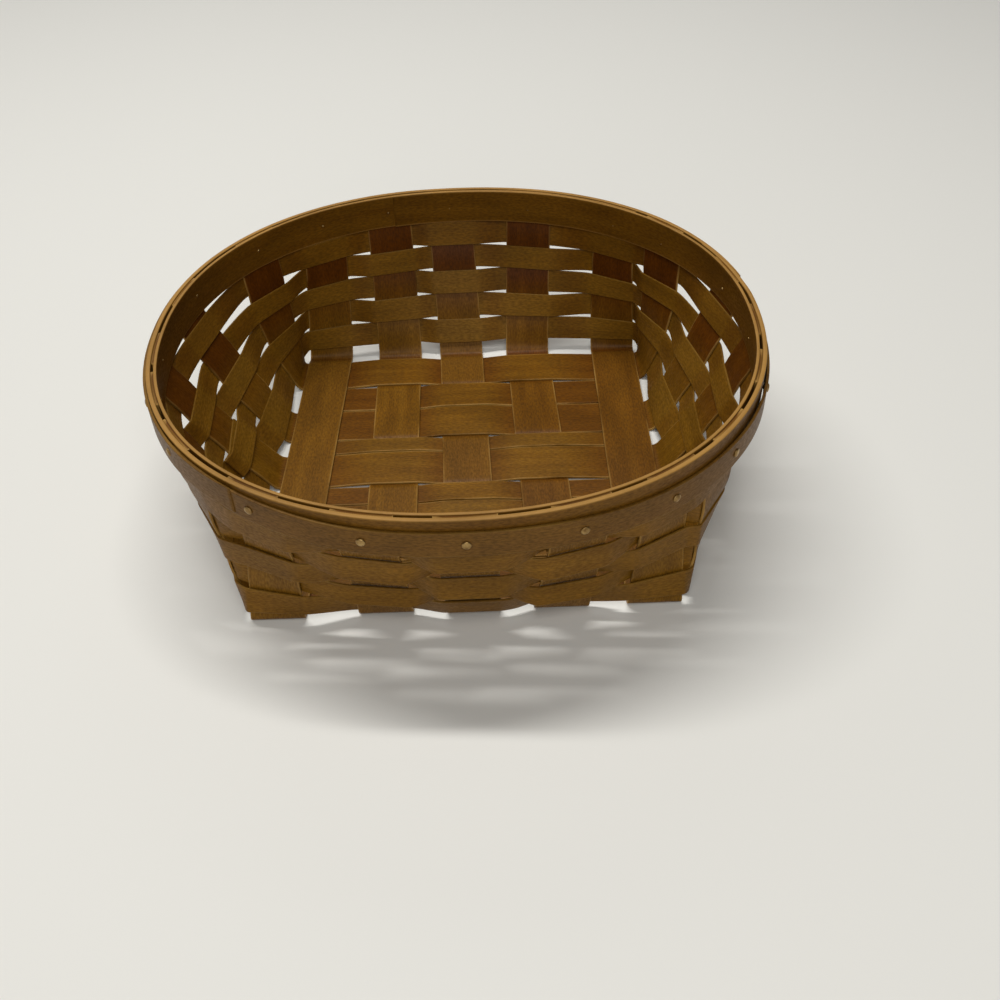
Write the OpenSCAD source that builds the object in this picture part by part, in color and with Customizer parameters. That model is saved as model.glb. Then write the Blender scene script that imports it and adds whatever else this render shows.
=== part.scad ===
// Splint basket: a square woven floor, five woven rows and a round tacked rim.
// The origin is on the table under the middle of the rim. +Z is up and -Y is the front.

/* [Rim] */
// Width across the outside of the rim hoop
rim_w = 289; // [260:1:320]
// Depth across the outside of the rim hoop
rim_d = 273; // [250:1:310]
// Squareness of the rim's outline, where 2 is an ellipse
rim_power = 2.15; // [2:0.05:2.5]
// Thickness of the outer rim hoop
hoop_t = 2.1; // [1.5:0.1:5]
// Height of the outer rim hoop
hoop_h = 17; // [13:0.5:18]
// Thickness of the inner rim band
inner_band_t = 1.3; // [0.8:0.1:4]
// Height of the inner rim band
inner_band_h = 18.5; // [17:0.5:26]
// Thickness of the tacked trim band
trim_t = 1.3; // [0.8:0.1:3]
// Height of the tacked trim band
trim_h = 13; // [8:0.5:16]
// How far the trim band sits below the rim's top edge
trim_drop = 5; // [2:0.5:7]
// How far the stake tops sit below the rim's top edge
stake_drop = 0.6; // [0:0.1:3]
// Angle of the slanting cut where a band's two ends lap
lap_angle = 20; // [15:1:60]

/* [Stakes] */
// Width of a stake
stake_w = 25.4; // [20:0.1:28]
// Thickness of a stake or a floor filler
stake_t = 1.2; // [0.8:0.1:2]
// Distance of the outer stakes from the middle of the floor
outer_stake = 86; // [78:0.5:95]
// Distance of the inner stakes from the middle of the floor
inner_stake = 40.5; // [36:0.5:46]
// How far the floor sits to the right of the rim's middle
floor_off = 2.7; // [-5:0.1:5]
// How far a lengthwise stake's bend reaches along the floor and up the wall
bend_len = 4; // [3:0.5:8]
// How far a crosswise stake's bend reaches along the floor and up the wall
side_bend = 2; // [2:0.5:6]
// How far the back wall's middle stands out past a straight line
wall_bulge = 2.8; // [0:0.2:6]
// How far a floor filler's end reaches past the middle of the outer stake
filler_reach = 8; // [2:0.5:11]

/* [Woven rows] */
// Height of a weaver
weaver_w = 12.6; // [9:0.1:16]
// Thickness of a weaver
weaver_t = 1; // [0.6:0.1:1.6]
// Height of the slit between two weavers
weaver_gap = 0.8; // [0.5:0.1:4]
// How softly a weaver turns between two stakes: 0 goes straight across and 1 follows a full S
weaver_ease = 0.5; // [0.2:0.1:1]
// How straight a weaver hangs outside a leaning front stake: 0 lies flat on it and 1 hangs straight down
weaver_hang = 0.9; // [0:0.05:1]
// Height of the lowest weaver's lower edge above the table
weaver_low = 7; // [5:0.5:12]
// How much lower the rows lie on the side walls, which lean out further, as a share of their height
row_drop = 0.065; // [0:0.005:0.1]
// How far the lower rows sag between the corners of the front wall
front_sag = 3; // [0:0.5:3.5]
// How much further down the lowest row reaches on the side walls
side_reach = 3; // [0:0.5:3.5]
// How much higher the top row is tucked on the side walls
side_tuck = 3; // [0:0.5:3.5]

/* [Tacks] */
// Diameter of a tack's head
tack_head_d = 4; // [3:0.1:6]
// Height of a tack's head
tack_head_h = 0.9; // [0.5:0.1:2]
// Diameter of a tack's shank
tack_shank_d = 1.6; // [1:0.1:2.4]
// How far a tack's point stands out of the inner band
tack_point = 0.4; // [0.1:0.1:1]

/* [Clearances] */
// Space between strips that cross
lay_gap = 0.2; // [0.1:0.05:0.4]
// Space between a weaver and the stakes it passes, which twist as they rise
weave_play = 0.65; // [0.3:0.05:0.8]
// Space between the stakes and the rim bands beside them
seat_gap = 0.15; // [0.1:0.05:0.4]
// Length in which a floor strip steps from under to over
weave_gap = 2.2; // [1.5:0.1:4]
// Space between an outer lengthwise stake's edge and the crosswise stakes' bends beside it
side_gap = 0.4; // [0.3:0.1:3]
// Space between a corner stake's top and the corner of the rim's outline
corner_gap = 3; // [1:0.5:8]
// Slit between a floor filler and the stake it runs with
filler_slit = 0.8; // [0.3:0.1:2]
// Width of the slit between a band's lapped ends
lap_slit = 0.2; // [0.1:0.05:0.5]

/* [Hidden] */

// Counts that the weave pattern fixes
side_stakes = 5;
weaver_count = 5;
upright_count = 4 * side_stakes;

// Counts of sections along the swept strips and around the bands
wall_steps = 14;
bend_steps = 3;
step_points = 3;
gap_points = 4;
over_steps = 4;
band_sides = 96;

// Where hand weaving left the stakes: shifts of the lengthwise ones at the floor's front and back, shifts of
// the crosswise ones, how much further the lengthwise ones reach at the front, and then shifts of the stake
// tops at the front, right, back and left rim, and of the tacks from the middle of those tops
front_shift = [-3.6, 1, 1, 1, -1.2];
back_shift = [2.7, -1.2, -5, -5.9, -0.3];
crosswise_shift = [3, 0, 0, -2.4, 0];
front_reach = [2.2, 0, 0, 0, 0];
rim_shift = [
    [9.7, 1.8, -0.2, 2.9, -5], [-1.6, -2.3, -5, 2.6, 2.7], [8.1, 0.6, -2.9, 0.6, -5.9],
    [4.4, -3.8, -12.3, -0.9, 4.9]];
tack_shift = [[0, 0, 0, 0, 0], [0, 0, 0, 0, 0], [0, 0, 0, 0, 0], [0, 0, 0, 8, 0]];

// How much of the back wall's bulge each stake has in the front, right, back and left walls
bulge_share = [
    [-2, -1, -0.15, -0.15, -1.4], [1, 1, 1, 1, 1], [1, 1, 1, 1, 1], [0.85, 0.85, 0.85, 0.85, 0.85]];

// Stake centre lines on the floor, left to right and front to back
stake_steps = [-outer_stake, -inner_stake, 0, inner_stake, outer_stake];
crosswise_y = stake_steps + crosswise_shift;

// Heights: the wall is woven up to the inner band's lower edge
wall_top = weaver_low + weaver_count * (weaver_w + weaver_gap);
rim_h = wall_top + inner_band_h;
tack_z = rim_h - trim_drop - trim_h / 2;

// The floor: strips lie on two levels, and bend up at its edge
low_z = stake_t / 2;
high_z = low_z + stake_t + lay_gap;
bend_lead = bend_len / 8;

// From the floor's middle to where the lengthwise stakes' bends start, at the front and the back
front_flat = -crosswise_y[0] + stake_w / 2 + weave_gap;
back_flat = crosswise_y[side_stakes - 1] + stake_w / 2 + weave_gap;

// A lengthwise stake's centre line at a place y on the floor, since the stakes lie a little askew
function lengthwise_x(c, y) =
    let (front = front_flat + bend_len, back = back_flat + bend_len)
    stake_steps[c] + floor_off + mix(front_shift[c], back_shift[c], (y + front) / (front + back));

// From the floor's middle to where crosswise stake r bends up, beside the outer lengthwise stake
function side_flat(s, r) =
    let (way = outward(s).x, c = way > 0 ? side_stakes - 1 : 0)
    way * (lengthwise_x(c, crosswise_y[r]) - floor_off) + stake_w / 2 + side_gap;

// Insets from the hoop's outside: a flat stake in a round slot needs the chord's rise as well
tightest_bend = 0.4 * min(rim_w, rim_d);
chord_rise = stake_w * stake_w / (8 * tightest_bend);
slot_inset = hoop_t + stake_t + chord_rise + 2 * seat_gap;
stake_inset = slot_inset - seat_gap - stake_t / 2;
inside_inset = slot_inset + inner_band_t;
trim_gap = seat_gap;
trim_inset = -trim_gap - trim_t;

// Polar angles at which the bands' ends lap
inner_band_lap = 104;
hoop_lap = 27;
trim_lap = 230;

// A weaver's middle lies this far from the middle of the stake it passes
weave_offset = (stake_t + weaver_t) / 2 + weave_play;

// Small vector helpers
function unit(v) = v / norm(v);
function mix(a, b, u) = a + (b - a) * u;
function ease(u) = u * u * (3 - 2 * u);

// Rim outline at an inset d: a point at a polar angle, and the outward direction at a point
function rim_a(d) = rim_w / 2 - d;
function rim_b(d) = rim_d / 2 - d;
function rim_level(p, d) = pow(abs(p.x) / rim_a(d), rim_power) + pow(abs(p.y) / rim_b(d), rim_power);
function rim_point(t, d) = pow(rim_level([cos(t), sin(t)], d), -1 / rim_power) * [cos(t), sin(t)];
function rim_slope(p, d) = [
    sign(p.x) * pow(abs(p.x) / rim_a(d), rim_power - 1) / rim_a(d),
    sign(p.y) * pow(abs(p.y) / rim_b(d), rim_power - 1) / rim_b(d), 0];
// Half breadth of an outline with half axes a and b, measured across at c along the axis of a
function rim_across(c, a, b) = b * pow(1 - pow(abs(c) / a, rim_power), 1 / rim_power);
// Distance from p along n to the outline at an inset d, by Newton steps
function rim_reach(p, n, d, guess, tries = 4) =
    let (q = p + n * guess, more = (1 - rim_level(q, d)) / (rim_power * (rim_slope(q, d) * n)))
    tries == 0 ? guess : rim_reach(p, n, d, guess + more, tries - 1);

// Uprights: sides 0 to 3 are front, right, back and left, and i counts anticlockwise along a side
function outward(s) = [[0, -1, 0], [1, 0, 0], [0, 1, 0], [-1, 0, 0]][s];
function along(s) = [[1, 0, 0], [0, 1, 0], [-1, 0, 0], [0, -1, 0]][s];
function stake_of(s, i) = s < 2 ? i : side_stakes - 1 - i;
function is_lengthwise(s) = s % 2 == 0;
function bend_of(s) = is_lengthwise(s) ? bend_len : side_bend;
function bend_top(s) = low_z + 0.85 * bend_of(s);
function floor_flat(s, i) =
    s == 0 ? front_flat + front_reach[i] : s == 2 ? back_flat : side_flat(s, stake_of(s, i));
function stake_at(s, i) =
    let (k = stake_of(s, i))
    s == 0 ? lengthwise_x(k, -front_flat - bend_len)
    : s == 2 ? lengthwise_x(k, back_flat + bend_len) : crosswise_y[k];
function base_point(s, i) =
    outward(s) * (floor_flat(s, i) + bend_of(s)) + [0, 0, low_z]
    + (is_lengthwise(s) ? [stake_at(s, i), 0, 0] : [floor_off, stake_at(s, i), 0]);
function rim_spot(s, c) =
    let (a = rim_a(stake_inset), b = rim_b(stake_inset))
    is_lengthwise(s) ? [c, outward(s).y * rim_across(c, a, b), wall_top]
                     : [outward(s).x * rim_across(c, b, a), c, wall_top];
// Along a side of the rim the tops are spread so that the corner stakes stay clear of its corner,
// where the outline is equally far along both half axes
function rim_spread(s) =
    let (half = is_lengthwise(s) ? rim_a(stake_inset) : rim_b(stake_inset))
    (half * pow(2, -1 / rim_power) - stake_w / 2 * cos(45) - corner_gap) / outer_stake;
function top_at(s, i) = stake_at(s, i) * rim_spread(s) + rim_shift[s][stake_of(s, i)];
function top_point(s, i) = rim_spot(s, top_at(s, i));
function top_normal(s, i) = unit(rim_slope(top_point(s, i), stake_inset));
function top_along(s, i) = let (n = top_normal(s, i)) [-n.y, n.x, 0];

// The wall: middle of an upright at height z, the way its width runs, the way it rises, and outwards
function wall_share(z) = min(1, (z - low_z) / (wall_top - low_z));
function wall_point(s, i, z) =
    let (u = wall_share(z), bulge = bulge_share[s][stake_of(s, i)] * wall_bulge)
    mix(base_point(s, i), top_point(s, i), u) + outward(s) * 4 * bulge * u * (1 - u)
    + [0, 0, max(0, z - wall_top)];
function wall_turn(z) = let (left = 1 - wall_share(z)) 1 - left * left;
function wall_along(s, i, z) = unit(mix(along(s), top_along(s, i), wall_turn(z)));
function wall_rise(s, i, z) = unit(wall_point(s, i, z + 0.5) - wall_point(s, i, z - 0.5));
function wall_normal(s, i, z) = unit(cross(wall_along(s, i, z), wall_rise(s, i, z)));

// A strip is a list of sections of four corners, joined by triangles
function section(p, across, way, w, t) =
    let (e = across * w / 2, n = unit(cross(across, way)) * t / 2)
    [p - e - n, p + e - n, p + e + n, p - e + n];
function side_faces(count, closed) = [
    for (k = [0 : count - (closed ? 1 : 2)], j = [0 : 3])
        let (m = (k + 1) % count, i = (j + 1) % 4, a = 4 * k + j, b = 4 * k + i, c = 4 * m + i, d = 4 * m + j)
        each [[a, b, c], [a, c, d]]];
function end_faces(count) =
    let (e = 4 * count - 4) [[0, 3, 2], [0, 2, 1], [e, e + 1, e + 2], [e, e + 2, e + 3]];

module strip(sections, closed = false) {
    count = len(sections);
    polyhedron(
        points = [for (ring = sections) each ring],
        faces = concat(side_faces(count, closed), closed ? [] : end_faces(count)),
        convexity = 10);
}

// Floor levels: a crosswise strip r goes over a lengthwise stake c, or under it
function crosswise_over(r, c) = c > 0 && c < side_stakes - 1 && (r + c) % 2 == 1;
function level(over) = over ? high_z : low_z;

// Spans [from, to, height] of a strip along the floor, with eased steps between them
function floor_run(spans) = [
    for (k = [0 : len(spans) - 1])
        let (now = spans[k], next = spans[min(k + 1, len(spans) - 1)])
        each concat(
            [[now[0], now[2]], [now[1], now[2]]],
            k == len(spans) - 1 ? [] : [
                for (j = [1 : step_points])
                    let (u = j / (step_points + 1))
                    [mix(now[1], next[0], u), mix(now[2], next[2], ease(u))]])];
function across_spans(r, left, right) = [
    for (c = [0 : side_stakes - 1])
        let (x = lengthwise_x(c, crosswise_y[r]), half = stake_w / 2)
        [c == 0 ? floor_off - left : x - half, c == side_stakes - 1 ? floor_off + right : x + half,
         level(crosswise_over(r, c))]];
function along_spans(c) = concat(
    [[-floor_flat(0, c) - bend_lead, -floor_flat(0, c), low_z]],
    [for (r = [0 : side_stakes - 1])
        let (from = crosswise_y[r] - stake_w / 2, last = r == side_stakes - 1,
             to = last ? from + stake_w : crosswise_y[r + 1] - stake_w / 2 - weave_gap)
        [from, to, level(!crosswise_over(r, c))]],
    [[back_flat, back_flat + bend_lead, low_z]]);

// One upright from the floor to the rim: [point, way its width runs, way it goes]
function upright(s, i) =
    let (p1 = base_point(s, i), p0 = p1 - outward(s) * bend_of(s), p2 = wall_point(s, i, bend_top(s)))
    concat(
        [for (j = [1 : bend_steps])
            let (u = j / (bend_steps + 1), a = mix(p0, p1, u), b = mix(p1, p2, u))
            [mix(a, b, u), along(s), unit(b - a)]],
        [for (j = [0 : wall_steps])
            let (z = mix(bend_top(s), wall_top, j / wall_steps))
            [wall_point(s, i, z), wall_along(s, i, z), wall_rise(s, i, z)]],
        [[wall_point(s, i, rim_h - stake_drop), top_along(s, i), [0, 0, 1]]]);

// A whole stake: down one upright, across the floor and up the other
function stake_sections(s1, i1, s2, i2, turn, floor_points, way) =
    let (down = upright(s1, i1), up = upright(s2, i2), last = len(down) - 1)
    concat(
        [for (k = [last : -1 : 0]) section(down[k][0], turn * down[k][1], -down[k][2], stake_w, stake_t)],
        [for (p = floor_points) section(p, turn * along(s1), way, stake_w, stake_t)],
        [for (k = [0 : last]) section(up[k][0], -turn * up[k][1], up[k][2], stake_w, stake_t)]);

// Weaving: +1 passes outside an upright and -1 inside, with a double pass at both front corners
function passes(s, i) = (s == 2 ? -1 : 1) * (i % 2 == 0 ? 1 : -1);
function hermite(p, q, v, w, u) =
    p * (1 + 2 * u) * (1 - u) * (1 - u) + v * u * (1 - u) * (1 - u)
    + q * u * u * (3 - 2 * u) + w * u * u * (u - 1);
function hermite_way(p, q, v, w, u) =
    (q - p) * 6 * u * (1 - u) + v * (1 - u) * (1 - 3 * u) + w * u * (3 * u - 2);

// Height of a row's edge at an upright. On the sides the rows lie lower, a little less so at the corners, but
// the top one doesn't, and the lowest one reaches further down. At the front the lower rows sag, and the sag
// fades out over the two rows above the second
function is_corner(i) = i == 0 || i == side_stakes - 1;
function row_share(s, i) = is_lengthwise(s) ? 1 : 1 - row_drop * (is_corner(i) ? 0.75 : 1);
function row_sag(s, i, z) =
    let (row = weaver_w + weaver_gap, fade = (weaver_low + 4 * row - z) / (2 * row))
    s == 0 && !is_corner(i) ? front_sag * min(1, max(0, fade)) : 0;
function side_row(z) =
    let (top_row = weaver_low + (weaver_count - 1) * (weaver_w + weaver_gap))
    z > top_row - weaver_gap / 2 ? side_tuck : -side_reach * max(0, 1 - (z - weaver_low) / weaver_w);
function row_z(s, i, z) =
    weaver_low + (z - weaver_low) * row_share(s, i) - row_sag(s, i, z) + (is_lengthwise(s) ? 0 : side_row(z));

// Where a weaver's edge at height z meets one side of an upright, moved off it on the level
function weave_out(s, i, z) = let (n = wall_normal(s, i, z), flat = [n.x, n.y, 0]) flat / (flat * flat);
function weave_lean(s, i, z, side, end) =
    wall_point(s, i, z) + wall_along(s, i, z) * end * stake_w / 2 + weave_out(s, i, z) * side * weave_offset;
// Outside a front upright, which leans out, a weaver's lower edge can hang under its upper edge
function weave_end(s, i, z, sense, hang, end) =
    let (side = sense * passes(s, i), low = row_z(s, i, z), high = row_z(s, i, z + weaver_w),
         p = weave_lean(s, i, low, side, end), out = unit(weave_out(s, i, low)),
         lean = out * (weave_lean(s, i, high, side, end) - p))
    p + (s == 0 && side > 0 ? out * max(0, lean) * hang : [0, 0, 0]);

// One edge of a weaver at height z: straight over each upright, curved in the gaps between
function weave_edge(z, sense, hang) = [
    for (j = [0 : upright_count - 1])
        let (s = floor(j / side_stakes), i = j % side_stakes, m = (j + 1) % upright_count,
             s2 = floor(m / side_stakes), i2 = m % side_stakes,
             way = wall_along(s, i, row_z(s, i, z)), way2 = wall_along(s2, i2, row_z(s2, i2, z)),
             from = weave_end(s, i, z, sense, hang, -1), to = weave_end(s, i, z, sense, hang, 1),
             next = weave_end(s2, i2, z, sense, hang, -1), reach = weaver_ease * norm(next - to))
        each concat(
            [for (g = [0 : over_steps]) [mix(from, to, g / over_steps), way]],
            [for (g = [1 : gap_points])
                let (u = g / (gap_points + 1))
                [hermite(to, next, way * reach, way2 * reach, u),
                 unit(hermite_way(to, next, way * reach, way2 * reach, u))]])];
// The lowest weaver is drawn tight round the floor, so it doesn't hang
function weaver_sections(k) =
    let (z = weaver_low + (k - 1) * (weaver_w + weaver_gap), sense = k % 2 == 1 ? 1 : -1,
         low = weave_edge(z, sense, k == 1 ? 0 : weaver_hang), high = weave_edge(z + weaver_w, sense, 0))
    [for (j = [0 : len(low) - 1])
        let (rise = high[j][0] - low[j][0],
             nl = unit(cross(rise, low[j][1])) * weaver_t / 2,
             nh = unit(cross(rise, high[j][1])) * weaver_t / 2)
        [low[j][0] - nl, high[j][0] - nh, high[j][0] + nh, low[j][0] + nl]];

// A tack goes through an upright near the middle of its top, straight out of the basket
function tack_spot(s, i) = rim_spot(s, top_at(s, i) + tack_shift[s][stake_of(s, i)]);
function tack_way(s, i) = unit(rim_slope(tack_spot(s, i), stake_inset));

module at_tack(s, i) {
    p = tack_spot(s, i);
    n = tack_way(s, i);
    translate([p.x, p.y, tack_z]) rotate([0, 0, atan2(n.y, n.x)]) rotate([0, 90, 0]) children();
}

module tack_hole(s, i) {
    deep = inside_inset - trim_inset;
    at_tack(s, i)
        cylinder(d = tack_shank_d + 2 * lay_gap, h = 4 * deep, center = true, $fn = 32);
}

module all_tack_holes() {
    for (s = [0 : 3], i = [0 : side_stakes - 1]) tack_hole(s, i);
}

// A rim band between two insets, cut on a slant at a polar angle where its ends lap
module band(outer, inner, top, tall, lap_at) {
    thick = inner - outer;
    p = rim_point(lap_at, (outer + inner) / 2);
    n = rim_slope(p, (outer + inner) / 2);
    difference() {
        translate([0, 0, top - tall]) linear_extrude(tall) difference() {
            polygon([for (k = [0 : band_sides - 1]) rim_point(360 * k / band_sides, outer)]);
            polygon([for (k = [0 : band_sides - 1]) rim_point(360 * k / band_sides, inner)]);
        }
        all_tack_holes();
        translate([p.x, p.y, top - tall / 2]) rotate([0, 0, atan2(n.y, n.x) + 90 - lap_angle])
            cube([2 * thick / sin(lap_angle), lap_slit, 2 * tall], center = true);
    }
}

module lengthwise_stake(c) {
    i = side_stakes - 1 - c;
    points = [for (p = floor_run(along_spans(c))) [lengthwise_x(c, p[0]), p[0], p[1]]];
    color("peru") difference() {
        strip(stake_sections(0, c, 2, i, 1, points, [0, 1, 0]));
        tack_hole(0, c);
        tack_hole(2, i);
    }
}

module crosswise_stake(r) {
    i = side_stakes - 1 - r;
    spans = across_spans(r, side_flat(3, r), side_flat(1, r));
    points = [for (p = floor_run(spans)) [p[0], crosswise_y[r], p[1]]];
    color("burlywood") difference() {
        strip(stake_sections(3, i, 1, r, -1, points, [1, 0, 0]));
        tack_hole(3, i);
        tack_hole(1, r);
    }
}

// A filler lies behind crosswise stake r, runs with it and ends under the outer lengthwise stakes
module floor_filler(r) {
    front = crosswise_y[r] + stake_w / 2 + filler_slit;
    back = crosswise_y[r + 1] - stake_w / 2 - weave_gap;
    middle = (front + back) / 2;
    reach = outer_stake + filler_reach;
    run = floor_run(across_spans(r, reach, reach));
    color("tan") strip([
        for (p = run) section([p[0], middle, p[1]], [0, 1, 0], [1, 0, 0], back - front, stake_t)]);
}

module weaver(k) {
    color("sienna") strip(weaver_sections(k), closed = true);
}

module inner_rim_band() {
    color("saddlebrown") band(slot_inset, inside_inset, rim_h, inner_band_h, inner_band_lap);
}

module outer_rim_hoop() {
    color("goldenrod") band(0, hoop_t, rim_h, hoop_h, hoop_lap);
}

module trim_band() {
    color("darkgoldenrod") band(trim_inset, -trim_gap, rim_h - trim_drop, trim_h, trim_lap);
}

// The tacks hold the trim, hoop, stake and inner band together, one at each upright
module tacks() {
    head_r = tack_head_d / 2;
    rim_edge = 0.6 * tack_head_h;
    crown = 0.6 * head_r;
    head = [[0, 0], [head_r, 0], [head_r, rim_edge], [crown, tack_head_h], [0, tack_head_h]];
    color("gold") for (s = [0 : 3], i = [0 : side_stakes - 1]) {
        p = tack_spot(s, i);
        n = tack_way(s, i);
        seat = rim_reach(p, n, trim_inset, stake_inset - trim_inset) + lay_gap / 2;
        inside = rim_reach(p, n, inside_inset, stake_inset - inside_inset);
        point = inside - tack_point;
        at_tack(s, i) {
            translate([0, 0, point]) cylinder(d = tack_shank_d, h = seat + rim_edge / 2 - point, $fn = 32);
            translate([0, 0, seat]) rotate_extrude($fn = 48) polygon(head);
        }
    }
}

for (k = [1 : side_stakes]) {
    lengthwise_stake(k - 1);
    crosswise_stake(k - 1);
}
for (k = [1 : side_stakes - 1])
    floor_filler(k - 1);
for (k = [1 : weaver_count])
    weaver(k);
inner_rim_band();
outer_rim_hoop();
trim_band();
tacks();
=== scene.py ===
# %% [markdown]
# # A splint basket from numpy surfaces
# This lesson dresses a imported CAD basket. The real one is woven from flat strips of stained wood. Ten
# stakes cross on the floor and turn up as the uprights of the wall. Five weavers run round the wall, and
# three bent bands with twenty tacks close the rim. Each strip is rebuilt here as a smooth surface with
# rounded edges and its own grain. The frame is loaded first, because every new piece stands where a CAD
# node stands.

import bpy
import numpy as np
from mathutils import Matrix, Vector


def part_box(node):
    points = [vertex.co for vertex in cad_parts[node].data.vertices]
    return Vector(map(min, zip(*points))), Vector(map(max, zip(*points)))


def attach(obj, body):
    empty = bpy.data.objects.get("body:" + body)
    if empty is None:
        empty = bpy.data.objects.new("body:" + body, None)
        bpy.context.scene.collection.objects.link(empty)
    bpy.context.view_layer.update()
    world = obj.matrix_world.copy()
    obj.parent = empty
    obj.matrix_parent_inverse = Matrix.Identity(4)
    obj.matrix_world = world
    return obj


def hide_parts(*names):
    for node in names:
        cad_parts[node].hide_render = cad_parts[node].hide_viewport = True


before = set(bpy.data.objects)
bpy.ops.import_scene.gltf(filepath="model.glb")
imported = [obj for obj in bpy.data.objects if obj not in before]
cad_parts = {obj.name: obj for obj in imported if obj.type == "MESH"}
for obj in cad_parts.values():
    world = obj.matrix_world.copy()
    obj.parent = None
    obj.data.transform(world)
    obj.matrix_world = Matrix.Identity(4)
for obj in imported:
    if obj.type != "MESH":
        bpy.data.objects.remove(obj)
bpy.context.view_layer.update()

# %% [markdown]
# The sizes are the driving dimensions of the CAD source, so each surface lands on its solid. What the frame
# can tell is read from it: the outside and the height of the rim hoop. The rest is repeated here in metres.

# %% Sizes
mm = 0.001
hoop_low, hoop_high = (np.array(corner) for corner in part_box("outer_rim_hoop"))
rim_width, rim_depth, hoop_tall = hoop_high - hoop_low
rim_height = hoop_high[2]
rim_power = 2.15
hoop_thick, band_thick, band_tall = 2.1 * mm, 1.3 * mm, 18.5 * mm
trim_thick, trim_tall, trim_drop = 1.3 * mm, 13 * mm, 5 * mm
stake_width, stake_thick, stake_drop = 25.4 * mm, 1.2 * mm, 0.6 * mm
outer_stake, inner_stake, floor_off = 86 * mm, 40.5 * mm, 2.7 * mm
bend_length, side_bend, wall_bulge, filler_reach = 4 * mm, 2 * mm, 2.8 * mm, 8 * mm
weaver_width, weaver_thick, weaver_gap = 12.6 * mm, 1 * mm, 0.8 * mm
weaver_low, weaver_hang, weaver_ease = 7 * mm, 0.9, 0.5
row_drop, front_sag, side_reach, side_tuck = 0.065, 3 * mm, 3 * mm, 3 * mm
lay_gap, seat_gap = 0.2 * mm, 0.15 * mm
weave_gap, side_gap, corner_gap, filler_slit = 2.2 * mm, 0.4 * mm, 3 * mm, 0.8 * mm
side_stakes, weaver_count = 5, 5
print(f"rim {rim_width / mm:.1f} x {rim_depth / mm:.1f} mm, {rim_height / mm:.1f} mm high")

# %% [markdown]
# Heights and insets follow from the sizes. An inset is how far a layer of the rim lies inside the hoop's
# outer face.

# %% Heights and insets
wall_top = weaver_low + weaver_count * (weaver_width + weaver_gap)
low_level = stake_thick / 2
high_level = low_level + stake_thick + lay_gap
tightest_bend = 0.4 * min(rim_width, rim_depth)
slot_inset = hoop_thick + stake_thick + stake_width**2 / (8 * tightest_bend) + 2 * seat_gap
stake_inset = slot_inset - seat_gap - stake_thick / 2
band_inset = slot_inset + band_thick
print(f"wall woven up to {wall_top / mm:.1f} mm, inner band's inside {band_inset / mm:.2f} mm in")

# %% [markdown]
# The rim is a circle that has been squared a little: a superellipse. In polar form it needs one formula,
# and an inset shortens both half axes, so every band of the rim uses the same function. Its slope gives the
# outward way.

# %% Rim outline
up = np.array([0.0, 0.0, 1.0])


def unit(v):
    """Each vector divided by its own length."""
    return v / np.linalg.norm(v, axis=-1, keepdims=True)


def rim_outline(angle, inset):
    """Radius = (|cos/a|^p + |sin/b|^p)^(-1/p), where a and b are the half axes less the inset."""
    a, b = rim_width / 2 - inset, rim_depth / 2 - inset
    c, s = np.cos(angle), np.sin(angle)
    radius = (np.abs(c / a) ** rim_power + np.abs(s / b) ** rim_power) ** (-1 / rim_power)
    return np.stack([radius * c, radius * s, 0 * radius], -1)


def rim_outward(point, inset):
    """The slope of |x/a|^p + |y/b|^p, which points straight out of the outline, made a unit vector."""
    half = np.array([rim_width / 2 - inset, rim_depth / 2 - inset])
    flat = point[..., :2] / half
    slope = np.sign(flat) * np.abs(flat) ** (rim_power - 1) / half
    return unit(np.concatenate([slope, 0 * slope[..., :1]], -1))


def rim_reach(point, way, inset, guess):
    """Distance from a point along a way to the outline at an inset, by four Newton steps."""
    half = np.array([rim_width / 2 - inset, rim_depth / 2 - inset])
    for _ in range(4):
        flat = (point + way * guess[:, None])[:, :2] / half
        level = (np.abs(flat) ** rim_power).sum(1)
        slope = rim_power * (np.sign(flat) * np.abs(flat) ** (rim_power - 1) / half * way[:, :2]).sum(1)
        guess = guess + (1 - level) / slope
    return guess


print("rim corner at 45 degrees:", np.round(rim_outline(np.array([np.pi / 4]), 0) / mm, 1))

# %% [markdown]
# Twenty uprights stand round the floor, five on each side. All of them are kept as arrays of twenty rows
# that run anticlockwise from the front left, so a weaver meets them in order. Handwork left small shifts on
# the floor and at the rim, which are listed here. The side walls start close beside the outer lengthwise
# stakes.

# %% Feet of the uprights
side = np.repeat(np.arange(4), side_stakes)
place = np.tile(np.arange(side_stakes), 4)
stake = np.where(side < 2, place, side_stakes - 1 - place)
faces_y = side % 2 == 0
outward = np.array([[0, -1, 0], [1, 0, 0], [0, 1, 0], [-1, 0, 0.0]])[side]
along = np.array([[1, 0, 0], [0, 1, 0], [-1, 0, 0], [0, -1, 0.0]])[side]

front_shift = np.array([-3.6, 1, 1, 1, -1.2]) * mm
back_shift = np.array([2.7, -1.2, -5, -5.9, -0.3]) * mm
crosswise_shift = np.array([3, 0, 0, -2.4, 0]) * mm
front_reach = np.array([2.2, 0, 0, 0, 0]) * mm
stake_steps = np.array([-outer_stake, -inner_stake, 0, inner_stake, outer_stake])
crosswise_y = stake_steps + crosswise_shift
front_flat = -crosswise_y[0] + stake_width / 2 + weave_gap
back_flat = crosswise_y[-1] + stake_width / 2 + weave_gap
front_edge, back_edge = front_flat + bend_length, back_flat + bend_length
bend_rise = 0.85


def lengthwise_x(c, y):
    """Middle of lengthwise stake c at a place y: its step, the floor's shift and a mix of its end shifts."""
    share = (y + front_edge) / (front_edge + back_edge)
    return stake_steps[c] + floor_off + front_shift[c] + (back_shift[c] - front_shift[c]) * share


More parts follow.
